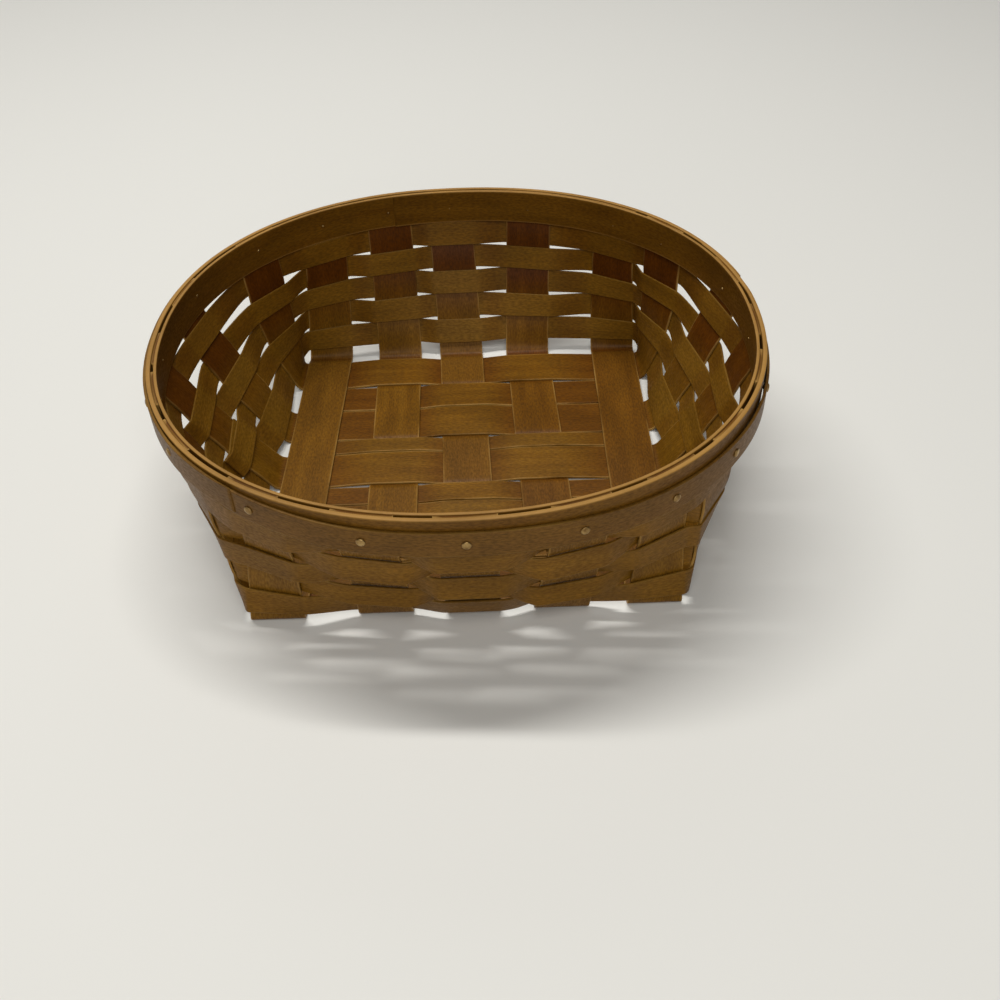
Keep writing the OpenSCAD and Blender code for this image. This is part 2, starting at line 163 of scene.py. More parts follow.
def side_flat(way, r):
    """From the floor's middle to where crosswise stake r bends up: the outer stake's edge and a small gap."""
    outer = lengthwise_x(side_stakes - 1 if way > 0 else 0, crosswise_y[r])
    return way * (outer - floor_off) + stake_width / 2 + side_gap


sides = [side == s for s in range(4)]
flat = np.select(sides, [
    front_flat + front_reach[stake], side_flat(1, stake), 0 * side + back_flat, side_flat(-1, stake)])
bend = np.where(faces_y, bend_length, side_bend)
bend_top = low_level + bend_rise * bend
centre = np.select(sides, [
    lengthwise_x(stake, -front_edge), crosswise_y[stake],
    lengthwise_x(stake, back_edge), crosswise_y[stake]])
foot = outward * (flat + bend)[:, None] + low_level * up
foot[:, 0] += np.where(faces_y, centre, floor_off)
foot[:, 1] += np.where(faces_y, 0, centre)
print("feet of the side walls, mm:", *(np.round(foot[side == s, 0] / mm, 1) for s in (1, 3)))

# %% [markdown]
# An upright leans from its foot on the square floor to its place on the round rim. The places on the rim
# are read off the outline in the slot between hoop and inner band, spread so that the corner uprights stay
# clear of the rim's corner. A tack sits near the middle of each upright's top. In the tables a row is a
# side: front, right, back and left, and a negative swell bows a front upright inwards.

# %% Heads of the uprights
rim_shift = np.array([
    [9.7, 1.8, -0.2, 2.9, -5],
    [-1.6, -2.3, -5, 2.6, 2.7],
    [8.1, 0.6, -2.9, 0.6, -5.9],
    [4.4, -3.8, -12.3, -0.9, 4.9]]) * mm
tack_shift = np.zeros((4, side_stakes))
tack_shift[3, 3] = 8 * mm
bulge_share = np.array([
    [-2, -1, -0.15, -0.15, -1.4],
    [1, 1, 1, 1, 1],
    [1, 1, 1, 1, 1],
    [0.85, 0.85, 0.85, 0.85, 0.85]])[side, stake]
slot_half = np.array([rim_width / 2 - stake_inset, rim_depth / 2 - stake_inset])
own_half = np.where(faces_y, slot_half[0], slot_half[1])
other_half = np.where(faces_y, slot_half[1], slot_half[0])


def rim_spot(at):
    """The place on the slot's outline at a distance along each side: breadth = b (1 - |c/a|^p)^(1/p)."""
    breadth = other_half * (1 - (np.abs(at) / own_half) ** rim_power) ** (1 / rim_power)
    return outward * breadth[:, None] + along * (along.sum(1) * at)[:, None] + wall_top * up


corner_room = stake_width / 2 * np.cos(np.pi / 4) + corner_gap
rim_spread = (own_half * 2 ** (-1 / rim_power) - corner_room) / outer_stake
head_at = centre * rim_spread + rim_shift[side, stake]
head = rim_spot(head_at)
head_outward = rim_outward(head, stake_inset)
head_along = np.cross(up, head_outward)
lowest, highest = np.round(head.min(0) / mm, 1), np.round(head.max(0) / mm, 1)
print("uprights:", len(head), "heads from", lowest, "to", highest)

# %% [markdown]
# The wall of an upright is a straight line with a parabola added for its swell. Its width turns from the
# floor's edge to the rim's tangent on the way up, and its outward way is square to both.

# %% Wall functions
slope_step = 0.5 * mm


def wall_share(z):
    """How far up the woven wall a height is, from 0 at the floor to 1 at the rim bands."""
    return np.minimum(1, (z - low_level) / (wall_top - low_level))


def wall_point(j, z):
    """Foot to head in a line, plus the swell times 4 u (1 - u) outwards, plus any height above the wall."""
    u = wall_share(z)[..., None]
    bow = 4 * wall_bulge * bulge_share[j][..., None] * u * (1 - u)
    return foot[j] + (head[j] - foot[j]) * u + outward[j] * bow + up * np.maximum(0, z - wall_top)[..., None]


def wall_along(j, z):
    """The way an upright's width runs: from the floor's edge to the rim's tangent, mixed by 1 - (1 - u)^2."""
    turn = 1 - (1 - wall_share(z)[..., None]) ** 2
    return unit(along[j] * (1 - turn) + head_along[j] * turn)


def wall_outward(j, z):
    """Square to the width and to the rise, which is the difference of two close wall points."""
    rise = wall_point(j, z + slope_step) - wall_point(j, z - slope_step)
    return unit(np.cross(wall_along(j, z), rise))


print("lean of the middle front upright, mm:", np.round((head - foot)[2] / mm, 1))

# %% [markdown]
# Every strip is one closed outline carried along a path. The outline is a thin rectangle with rounded
# edges, and it keeps a number that says how near each point is to an edge, because the cut edges are
# painted paler: partly the bare wood of real splints, partly a painted highlight where edges catch the
# light. Sine spacing puts more points near the edges, where the surface turns.

# %% Strip outline
face_points, corner_points = 11, 4
edge_fade = 0.5 * mm
stake_rounding, weaver_rounding, band_rounding, hoop_rounding = 0.3 * mm, 0.25 * mm, 0.3 * mm, 0.45 * mm
wobble_waves, wobble_scale = 4, 1.6


def strip_outline(width, thick, rounding):
    """Two faces with sine-spaced points and four quarter circles, as across, through and edge nearness."""
    spread = np.sin(np.linspace(-1, 1, face_points) * np.pi / 2) * (width / 2 - rounding)
    turn = np.linspace(0, np.pi / 2, corner_points)[:-1] + np.pi / (4 * (corner_points - 1))
    arc_x, arc_y = width / 2 - rounding * (1 - np.sin(turn)), thick / 2 - rounding * (1 - np.cos(turn))
    x = np.r_[spread, arc_x, arc_x[::-1], -spread, -arc_x, -arc_x[::-1]]
    y = np.r_[0 * spread + thick / 2, arc_y, -arc_y[::-1], 0 * spread - thick / 2, -arc_y, arc_y[::-1]]
    near = np.exp(-(width / 2 - np.abs(x)) / edge_fade)
    return np.stack([x, y, near], -1)


def wobble(run, period, seed):
    """A smooth line of about -1 to 1: sine waves of the run with seeded phases, the longest a period long."""
    rng = np.random.default_rng(seed)
    count = np.arange(1, wobble_waves + 1)
    waves = np.sin(2 * np.pi * np.outer(run, count) / period + rng.uniform(0, 2 * np.pi, count.size))
    return (waves / count).sum(1) / wobble_scale


print("points in a stake's outline:", len(strip_outline(stake_width, stake_thick, stake_rounding)))

# %% [markdown]
# The path gives three ways at each station: where the middle is, where the width runs and where the
# thickness runs. The grid of points is worked out as one array. A bow moves the edges against the middle,
# so a strip can be cupped. A UV map in metres runs along and across the strip, so the grain always follows
# the wood, and each strip reads it from a place of its own. The points also carry three numbers for the
# finish: how near an edge is, the strip's tone, and how much pooled stain and painted shade darken it.

# %% Strip mesh
width_wobble, wobble_period = 0.008, 0.16
grain_along, grain_across = 0.37, 0.053


def soften(values, passes=2):
    """A running mean of three neighbours, with the ends held, done a few times."""
    for _ in range(passes):
        padded = np.concatenate([2 * values[:1] - values[1:2], values, 2 * values[-1:] - values[-2:-1]])
        values = (padded[:-2] + padded[1:-1] + padded[2:]) / 3
    return values


def run_of(points):
    """Length along a line of points, from 0."""
    return np.r_[0, np.cumsum(np.linalg.norm(np.diff(points, axis=0), axis=1))]


def strip_mesh(name, path, outline, seed, tone, thin=1.0, wide=1.0, bow=None, stain_and_shade=0.0):
    """Point (i, k) = middle_i + across_i x_k wide_i + through_i y_k thin_i + bow_i (x_k / half width)^2."""
    middle, across, through = path
    stations, ring = len(middle), len(outline)
    run = run_of(middle)
    wide = np.broadcast_to(wide, stations) + width_wobble * wobble(run, wobble_period, seed)
    x = outline[:, 0] * wide[:, None]
    y = outline[:, 1] * np.broadcast_to(thin, stations)[:, None]
    points = middle[:, None] + across[:, None] * x[..., None] + through[:, None] * y[..., None]
    if bow is not None:
        points = points + bow[:, None] * (outline[:, :1] / outline[:, 0].max()) ** 2
    index = np.arange(stations * ring).reshape(stations, ring)
    first, second = index[:-1], index[1:]
    quads = np.stack([first, second, np.roll(second, -1, 1), np.roll(first, -1, 1)], -1).reshape(-1, 4)
    flat_points = points.reshape(-1, 3)
    corner = flat_points[quads]
    volume = np.einsum("ij,ij->", corner[:, 0], np.cross(corner[:, 1], corner[:, 2]))
    volume += np.einsum("ij,ij->", corner[:, 0], np.cross(corner[:, 2], corner[:, 3]))
    u = np.stack([run[:-1], run[1:], run[1:], run[:-1]], -1)[:, None].repeat(ring, 1)
    here, beside = outline[:, 0], np.roll(outline[:, 0], -1)
    v = np.stack([here, here, beside, beside], -1)[None].repeat(len(u), 0)
    grain = np.stack([u + grain_along * seed, v + grain_across * seed], -1).reshape(-1, 4, 2)
    ends = [index[0], index[-1][::-1]]
    if volume < 0:
        quads, grain, ends = quads[:, ::-1], grain[:, ::-1], [end[::-1] for end in ends]
    mesh = bpy.data.meshes.new(name)
    mesh.from_pydata(flat_points, [], quads.tolist() + [end.tolist() for end in ends])
    mesh.polygons.foreach_set("use_smooth", np.r_[np.ones(len(quads), bool), False, False])
    uv = np.concatenate([grain.reshape(-1, 2), np.tile(grain[0, 0], (2 * ring, 1))])
    mesh.uv_layers.new(name="grain").data.foreach_set("uv", uv.astype(np.float32).ravel())
    for label, number in (("edge", outline[:, 2]), ("tone", tone), ("stain_and_shade", stain_and_shade)):
        values = np.broadcast_to(number, (stations, ring)).astype(np.float32).ravel()
        mesh.attributes.new(label, "FLOAT", "POINT").data.foreach_set("value", values)
    piece = bpy.data.objects.new(name, mesh)
    bpy.context.scene.collection.objects.link(piece)
    return piece


print("strip maker ready, outlines of", face_points, "points a face")

# %% [markdown]
# Every finished piece is handed over in the same way. It gets its finish, rides on the one body and stands
# for its CAD node.

# %% Handing over a piece
def dress(piece, node, finish):
    """Puts a finish on a piece, ties it to the body and lets it stand for its CAD node."""
    piece.data.materials.append(finish)
    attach(piece, "root")
    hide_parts(node)
    return piece


print("CAD nodes to stand for:", len(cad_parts))

# %% [markdown]
# The wood is a plain splint with a golden brown stain and a satin coat. It shows soft streaks where the
# stain soaked in unevenly, fine fibres, and a speckle of short pores. All of them are noise that reads the
# grain map, so they are stretched along the strip. A picture of wood would repeat, and these don't.

# %% Noise for the wood
def texture_noise(tree, grain, scale, detail):
    """A noise pattern with so many features in each metre along and across the grain."""
    mapping = tree.nodes.new("ShaderNodeMapping")
    mapping.inputs["Scale"].default_value = (*scale, 1)
    tree.links.new(grain, mapping.inputs["Vector"])
    noise = tree.nodes.new("ShaderNodeTexNoise")
    noise.noise_dimensions = "2D"
    noise.inputs["Scale"].default_value = 1
    noise.inputs["Detail"].default_value = detail
    tree.links.new(mapping.outputs["Vector"], noise.inputs["Vector"])
    return noise.outputs["Fac"]


def spread_range(tree, value, low, high, inner=0.3):
    """Stretches the middle of a noise, from inner to 1 - inner, to the range low to high."""
    node = tree.nodes.new("ShaderNodeMapRange")
    for socket, number in zip(("From Min", "From Max", "To Min", "To Max"), (inner, 1 - inner, low, high)):
        node.inputs[socket].default_value = number
    tree.links.new(value, node.inputs["Value"])
    return node.outputs["Result"]


def mixed(tree, a, b, factor, blend="MIX"):
    """Two colours mixed by a factor. Each is a socket or a plain colour."""
    node = tree.nodes.new("ShaderNodeMix")
    node.data_type, node.blend_type = "RGBA", blend
    for socket, value in (("A", a), ("B", b)):
        target = [s for s in node.inputs if s.name == socket and s.type == "RGBA"][0]
        if isinstance(value, bpy.types.NodeSocket):
            tree.links.new(value, target)
        else:
            target.default_value = (*value, 1)
    fac = [s for s in node.inputs if s.name == "Factor" and s.type == "VALUE"][0]
    if isinstance(factor, bpy.types.NodeSocket):
        tree.links.new(factor, fac)
    else:
        fac.default_value = factor
    return [s for s in node.outputs if s.type == "RGBA"][0]


def worked(tree, operation, a, b):
    """A sum, product or other operation of two values."""
    node = tree.nodes.new("ShaderNodeMath")
    node.operation = operation
    tree.links.new(a, node.inputs[0])
    tree.links.new(b, node.inputs[1])
    return node.outputs["Value"]


def attribute(tree, name):
    """A number that the mesh carries on its points."""
    node = tree.nodes.new("ShaderNodeAttribute")
    node.attribute_name = name
    return node.outputs["Fac"]


print("noise helpers ready")

# %% [markdown]
# The finish puts the patterns together. Streaks choose between three close stain colours, and the tone
# number of a strip shifts it towards a greyer brown, because no two splints take stain alike. Fibres and
# pores darken the colour a little. The stain-and-shade number darkens and reddens a strip: painted shade
# where it lies sunk between others, up the inner wall and on the outside, with some pooled stain in the
# dips. The edge number turns the cut edges pale gold, partly bare wood and partly a painted highlight, with
# breaks where the stain ran over them.

# %% Wood finish
# Tint multiplied in by the stain-and-shade number: pooled stain and painted shade.
stain_and_shade_tint = (0.50, 0.30, 0.20)
stain_stops = (0.3, 0.5, 0.7)
streak_scale, fibre_scale, pore_scale, cloud_scale = (14, 190), (70, 2600), (420, 1250), (30, 75)
fibre_shades, pore_shades, cloud_shades = (0.92, 1.06), (0.74, 1.2), (0.88, 1.1)
pore_roughness, coat_shine = (0.52, 0.36), 0.13
bump_strength, bump_height = 0.3, 0.12 * mm
edge_band_from = 0.15


def stained_wood(name, deep, body, warm, grey, edge, edge_breaks):
    """Colour = streaks times fibres, pores, clouds, stain and painted shade, pale at edges; bump = fibres +
    pores.
    """
    material = bpy.data.materials.new(name)
    material.use_nodes = True
    tree = material.node_tree
    shader = tree.nodes["Principled BSDF"]
    uv = tree.nodes.new("ShaderNodeUVMap")
    uv.uv_map = "grain"
    grain = uv.outputs["UV"]
    streak = texture_noise(tree, grain, streak_scale, 3)
    fibre = texture_noise(tree, grain, fibre_scale, 3)
    pore = texture_noise(tree, grain, pore_scale, 3)
    cloud = texture_noise(tree, grain, cloud_scale, 2)
    ramp = tree.nodes.new("ShaderNodeValToRGB")
    ramp.color_ramp.elements.new(stain_stops[1])
    for element, position, colour in zip(ramp.color_ramp.elements, stain_stops, (deep, body, warm)):
        element.position, element.color = position, (*colour, 1)
    tree.links.new(streak, ramp.inputs["Fac"])
    colour = mixed(tree, ramp.outputs["Color"], grey, attribute(tree, "tone"))
    for pattern, shades in ((fibre, fibre_shades), (pore, pore_shades), (cloud, cloud_shades)):
        shade = tree.nodes.new("ShaderNodeCombineColor")
        level = spread_range(tree, pattern, *shades)
        for channel in ("Red", "Green", "Blue"):
            tree.links.new(level, shade.inputs[channel])
        colour = mixed(tree, colour, shade.outputs["Color"], 1.0, "MULTIPLY")
    # Painted shade and pooled stain: the colour is multiplied towards dark red by the stain-and-shade number.
    colour = mixed(tree, colour, stain_and_shade_tint, attribute(tree, "stain_and_shade"), "MULTIPLY")
    # Pale edges: partly the bare wood of cut splints, partly a painted highlight where edges catch the light,
    # broken up by the cloud noise.
    edge_band = spread_range(tree, attribute(tree, "edge"), 0, 1, edge_band_from)
    edge_paling = worked(tree, "MULTIPLY", edge_band, spread_range(tree, cloud, *edge_breaks))
    colour = mixed(tree, colour, edge, edge_paling)
    tree.links.new(colour, shader.inputs["Base Color"])
    tree.links.new(spread_range(tree, pore, *pore_roughness), shader.inputs["Roughness"])
    bump = tree.nodes.new("ShaderNodeBump")
    bump.inputs["Strength"].default_value = bump_strength
    bump.inputs["Distance"].default_value = bump_height
    tree.links.new(worked(tree, "ADD", fibre, pore), bump.inputs["Height"])
    tree.links.new(bump.outputs["Normal"], shader.inputs["Normal"])
    shader.inputs["Specular IOR Level"].default_value = coat_shine
    return material


splint_stains = (
    (0.171, 0.076, 0.004), (0.199, 0.091, 0.005), (0.227, 0.108, 0.007), (0.193, 0.097, 0.014))
rim_stains = (
    (0.125, 0.050, 0.003), (0.143, 0.060, 0.004), (0.162, 0.070, 0.005), (0.140, 0.067, 0.012))
# Edge colours; the pale ones are partly bare wood and partly a painted highlight.
pale_edge_and_highlight, dull_edge, rim_edge_and_highlight = (0.42, 0.245, 0.065), (0.20, 0.105, 0.018), (0.40, 0.215, 0.055)
in_places, all_along = (0.05, 0.95), (0.6, 0.9)
wood = {
    name: stained_wood(f"{name}_stain", *stains, edge, edge_breaks)
    for name, stains, edge, edge_breaks in (
        ("stake", splint_stains, pale_edge_and_highlight, in_places), ("weaver", splint_stains, dull_edge, in_places),
        ("rim", rim_stains, rim_edge_and_highlight, all_along), ("trim", rim_stains, dull_edge, in_places))}
print("finishes:", [finish.name for finish in wood.values()])

# %% [markdown]
# A stake is one long splint: down one wall, round a soft bend, across the floor in an over and under weave,
# and up the far wall. Its path is put together from those stretches, then read again at even steps and
# softened, so that no joint between them shows. Uprights and weavers are equally stiff, so an upright gives
# way a little to each row, in or out by turns. Between the rim bands it is pressed against the hoop and
# takes its curve.

# %% Stake paths
station_step = 1.1 * mm
pressed_gap = 0.06 * mm
pressed_inset = hoop_thick + pressed_gap + stake_thick / 2
pressed_by, press_length = stake_inset - pressed_inset, 9 * mm
rim_radius = 130 * mm
rim_cup = stake_width**2 / (8 * rim_radius)
upright_give = 0.4 * mm
bend_points, wall_points, top_points = 10, 40, 14
corner_drop = 0.75
passes = np.where(side == 2, -1, 1) * np.where(place % 2 == 0, 1, -1)
at_corner = (place == 0) | (place == side_stakes - 1)
row_share = np.where(faces_y, 1, 1 - row_drop * np.where(at_corner, corner_drop, 1))
row_pitch = (weaver_width + weaver_gap) * row_share
first_row = weaver_low + weaver_width / 2 * row_share - np.where((side == 0) & ~at_corner, front_sag, 0)


def even_strip(points, widths, bows):
    """Even stations along a line of points: the path's middle, width way and thickness way, and the bow."""
    run = run_of(points)
    even = np.linspace(0, run[-1], int(run[-1] / station_step) + 1)

    def read_evenly(values):
        """Each column of values read at the even stations, then softened."""
        return soften(np.stack([np.interp(even, run, column) for column in values.T], -1))

    middle, across, bow = read_evenly(points), read_evenly(widths), read_evenly(bows)
    through = unit(np.cross(across, np.gradient(middle, axis=0)))
    return (middle, unit(across), through), bow


def eased(u):
    """Smooth step: 3 u^2 - 2 u^3 of a value held between 0 and 1."""
    u = np.clip(u, 0, 1)
    return u * u * (3 - 2 * u)


def upright_path(j):
    """From the floor up: a quadratic curve drawn towards the foot, the wall, then pressed out at the rim."""
    u = np.linspace(0, 1, bend_points)[1:-1, None]
    end = wall_point(j, np.array(bend_top[j]))
    curve = (1 - u) ** 2 * (foot[j] - outward[j] * bend[j]) + 2 * u * (1 - u) * foot[j] + u**2 * end
    z = np.r_[
        np.linspace(bend_top[j], wall_top, wall_points),
        np.linspace(wall_top + mm, rim_height - stake_drop, top_points)]
    js = np.full(z.shape, j)
    press = eased((z - wall_top) / press_length)[:, None] * head_outward[j]
    wall = wall_point(js, z) + press * pressed_by
    wave = np.cos(np.pi * np.clip((z - first_row[j]) / row_pitch[j], -0.5, weaver_count - 0.5))
    wall = wall - wall_outward(js, z) * (upright_give * passes[j] * wave)[:, None]
    widths = np.concatenate([0 * curve + along[j], wall_along(js, z)])
    return np.concatenate([curve, wall]), widths, np.concatenate([0 * curve, -press * rim_cup])


print(f"stakes pressed {pressed_by / mm:.2f} mm out and cupped {rim_cup / mm:.2f} mm at the rim")

# %% [markdown]
# On the floor the strips lie on two levels. The outer lengthwise stakes lie over every crosswise one, and
# the three in the middle take turns. Knots give the places where a strip is level, and straight ramps join
# them.

# %% Floor weave
floor_step = 0.5 * mm


def crosswise_over(r, c):
    """Whether crosswise strip r lies over lengthwise stake c on the floor."""
    return 0 < c < side_stakes - 1 and (r + c) % 2 == 1


def floor_level(over):
    """Height of a strip's middle where it lies over or under."""
    return high_level if over else low_level


def across_knots(r, left, right):
    """Places and heights along a crosswise strip: level over each lengthwise stake, sloping in between."""
    middle = np.array([lengthwise_x(c, crosswise_y[r]) for c in range(side_stakes)])
    edges = np.stack([middle - stake_width / 2, middle + stake_width / 2], -1)
    edges[0, 0], edges[-1, 1] = floor_off - left, floor_off + right
    return edges.ravel(), np.repeat([floor_level(crosswise_over(r, c)) for c in range(side_stakes)], 2)


def along_knots(c):
    """Places and heights along a lengthwise stake: level over each crosswise stake and its filler."""
    start = crosswise_y - stake_width / 2
    stop = np.r_[start[1:] - weave_gap, start[-1] + stake_width]
    levels = np.repeat([floor_level(not crosswise_over(r, c)) for r in range(side_stakes)], 2)
    edges = np.stack([start, stop], -1).ravel()
    return np.r_[-front_flat - front_reach[c], edges, back_flat], np.r_[low_level, levels, low_level]


def floor_line(knots, axis, offset):
    """Points along one axis at the knots' heights, a floor step apart, with an offset on the other axis."""
    places, levels = knots
    t = np.arange(places[0], places[-1] + floor_step / 2, floor_step)
    points = np.empty((t.size, 3))
    points[:, axis], points[:, 1 - axis], points[:, 2] = t, offset(t), np.interp(t, places, levels)
    return points


def stake_path(j1, j2, floor):
    """Down upright j1, across the floor and up upright j2."""
    down, down_width, down_bow = (values[::-1] for values in upright_path(j1))
    rise, rise_width, rise_bow = upright_path(j2)
    points = np.concatenate([down, floor, rise])
    widths = np.concatenate([down_width, 0 * floor + along[j1], -rise_width])
    return even_strip(points, widths, np.concatenate([down_bow, 0 * floor, rise_bow]))


print("floor levels:", round(low_level / mm, 2), round(high_level / mm, 2), "mm")

# %% [markdown]
# Now the ten stakes and the four short fillers are made. Each gets its own seed for its grain, its own tone
# and its own depth of stain and painted shade. The inner face is also darkened with painted shade up the
# wall towards the rim, and where a strip dips under another on the floor, along with some pooled stain
# there. The outer face is darkened by one level of painted shade. These depths are fitted to the picture,
# and partly stand in for shade that the lamps don't give. Three fillers are cut a little wider than in CAD,
# because no light shows in their slits.

# %% Stakes and fillers
stake_outline = strip_outline(stake_width, stake_thick, stake_rounding)
lengthwise_seed, crosswise_seed, filler_seed = 1, 11, 21
lengthwise_tones = (0.35, 0.15, 0.45, 0.2, 0.3)
crosswise_tones = (0.2, 0.4, 0.15, 0.3, 0.1)
filler_tones = (0.3, 0.05, 0.4, 0.2)
lengthwise_depths = (0.02, 0, 0.08, 0.22, 0.22)
crosswise_depths = (0, -0.2, -0.08, -0.04, 0.05)
filler_depths = (0, -0.1, -0.15, 0)
filler_grow = 1.2 * mm
# Painted shade: the inner face darkens up the wall towards the rim and where a strip dips under another (with
# some pooled stain), and the outer face by one level.
shade_heights, shade_levels = np.array([2.2, 8, 22, 52]) * mm, (0.36, 0.15, 0.3, 1.0)
dip_stain_and_shade, outer_shade = 0.4, 0.22


def stain_and_shade_face(path, outline, own):
    """Stain and painted shade. Inner face: own depth, a table by height and its dip. Outer face: one level.
    """
    middle, _, through = path
    z = middle[:, 2]
    dip = dip_stain_and_shade * (1 - np.clip((z - low_level) / (high_level - low_level), 0, 1))
    depth = own + dip + np.interp(z, shade_heights, shade_levels)
    inner = np.sign(outline[:, 1]) == np.sign(through[len(z) // 2, 2])
    return np.where(inner, np.clip(depth, 0, 1)[:, None], outer_shade)


made = []
for k in range(side_stakes):
    floor = floor_line(along_knots(k), 1, lambda y: lengthwise_x(k, y))
    path, bow = stake_path(k, 3 * side_stakes - 1 - k, floor)
    piece = strip_mesh(
        f"splint_lengthwise_{k + 1}", path, stake_outline, lengthwise_seed + k, lengthwise_tones[k],
        bow=bow, stain_and_shade=stain_and_shade_face(path, stake_outline, lengthwise_depths[k]))
    made.append(dress(piece, f"lengthwise_stake_{k + 1}", wood["stake"]))
    knots = across_knots(k, side_flat(-1, k), side_flat(1, k))
    floor = floor_line(knots, 0, lambda x: 0 * x + crosswise_y[k])
    path, bow = stake_path(4 * side_stakes - 1 - k, side_stakes + k, floor)
    piece = strip_mesh(
        f"splint_crosswise_{k + 1}", path, stake_outline, crosswise_seed + k, crosswise_tones[k],
        bow=bow, stain_and_shade=stain_and_shade_face(path, stake_outline, crosswise_depths[k]))
    made.append(dress(piece, f"crosswise_stake_{k + 1}", wood["stake"]))
for k in range(side_stakes - 1):
    front = crosswise_y[k] + stake_width / 2 + filler_slit
    back = crosswise_y[k + 1] - stake_width / 2 - weave_gap + (filler_grow if k else 0)
    reach = outer_stake + filler_reach
    line = floor_line(across_knots(k, reach, reach), 0, lambda x: 0 * x + (front + back) / 2)
    path, bow = even_strip(line, 0 * line + np.array([0, 1.0, 0]), 0 * line)
    outline = strip_outline(back - front, stake_thick, stake_rounding)
    piece = strip_mesh(
        f"splint_filler_{k + 1}", path, outline, filler_seed + k, filler_tones[k],
        stain_and_shade=stain_and_shade_face(path, outline, filler_depths[k]))
    made.append(dress(piece, f"floor_filler_{k + 1}", wood["stake"]))
print("floor strips:", len(made), "with", sum(len(p.data.polygons) for p in made), "faces")

# %% [markdown]
# A weaver is a straight strip that snakes round the uprights. It is easiest to follow by its two edges:
# each edge is straight across an upright, on its outer or inner face, and a Hermite curve joins one upright
# to the next. Outside a leaning front upright the lower edge hangs under the upper one, and the lower rows
# sag there. The side walls lean out further than the others, so the same strip climbs less there and the
# rows lie lower, apart from the top one, which is tucked up under the inner band. Where the sag ends and
# the tucks start is counted in rows.

# %% Weaver edges
over_stations, gap_stations = 10, 14
per_upright = over_stations + gap_stations
upright_list = np.arange(len(foot))
back_tuck = 0.7 * mm
sag_top, sag_fade, top_row, top_edge = 4, 2, 3.95, 4.5
front_clear, wall_clear = 0.8 * mm, 0.2 * mm
clear = np.where(side == 0, front_clear, wall_clear)
weave_offset = (stake_thick + weaver_thick) / 2 + clear - upright_give


def row_height(z):
    """A row's edge at each upright: a share of z on the sides, a tuck at the top, and a sag at the front."""
    row = weaver_width + weaver_gap
    sag = front_sag * np.clip((weaver_low + sag_top * row - z) / (sag_fade * row), 0, 1)
    reach = -side_reach * max(0, 1 - (z - weaver_low) / weaver_width)
    side_row = side_tuck if z > weaver_low + top_row * row else reach
    back_row = back_tuck if z > weaver_low + top_edge * row else 0
    level = weaver_low + (z - weaver_low) * row_share
    return level + np.select([(side == 0) & ~at_corner, ~faces_y, side == 2], [-sag, side_row, back_row], 0)


def weaver_edge(z, sense, hang):
    """An edge at height z: straight over the uprights, with a Hermite curve from p to q in each gap.

    The curve p(1+2u)(1-u)^2 + v u(1-u)^2 + q u^2(3-2u) + w u^2(u-1) leaves along v and arrives along w.
    """
    low, high = row_height(z), row_height(z + weaver_width)
    way, pass_side = wall_along(upright_list, low), sense * passes

    def lean(level, end):
        """The wall's point at one end of an upright's width, moved off its face on the level."""
        flat_out = wall_outward(upright_list, level) * [1, 1, 0]
        off = flat_out / (flat_out**2).sum(1)[:, None] * (pass_side * weave_offset)[:, None]
        return wall_point(upright_list, level) + wall_along(upright_list, level) * end * stake_width / 2 + off

    def hung(end):
        """The same point, moved out under the upper edge where the weaver passes outside at the front."""
        point = lean(low, end)
        overhang = np.maximum(0, (out * (lean(high, end) - point)).sum(1))
        return point + out * (np.where((pass_side > 0) & (side == 0), hang, 0) * overhang)[:, None]

    out = unit(wall_outward(upright_list, low) * [1, 1, 0])
    start, stop = hung(-1), hung(1)
    follow, follow_way = np.roll(start, -1, 0), np.roll(way, -1, 0)
    reach = weaver_ease * np.linalg.norm(follow - stop, axis=1)[:, None]
    g = np.linspace(0, 1, over_stations)[None, :, None]
    u = np.linspace(0, 1, gap_stations + 2)[None, 1:-1, None]
    over = start[:, None] * (1 - g) + stop[:, None] * g
    p, q, v, w = (a[:, None] for a in (stop, follow, way * reach, follow_way * reach))
    curve = p * (1 + 2 * u) * (1 - u) ** 2 + v * u * (1 - u) ** 2
    curve = curve + q * u**2 * (3 - 2 * u) + w * u**2 * (u - 1)
    return np.concatenate([over, curve], 1).reshape(-1, 3)


print("row share on the sides:", row_share[side == 1])

# %% [markdown]
# A real weaver isn't a ring. It starts inside an upright, and after its way round its tail is laid over its
# own start and ends in the next gap. In the second row this lap shows on the left wall: the start stands a
# little higher. The inner face is darkened with painted shade in the gaps, where a weaver goes from one side
# of the wall to the other, and in the top two rows under the rim. The outer face gets the stakes' one level
# of painted shade.

# %% Weavers
weaver_outline = strip_outline(weaver_width, weaver_thick, weaver_rounding)
weaver_seed = 31
weaver_tones = (0.4, 0.25, 0.45, 0.2, 0.35)
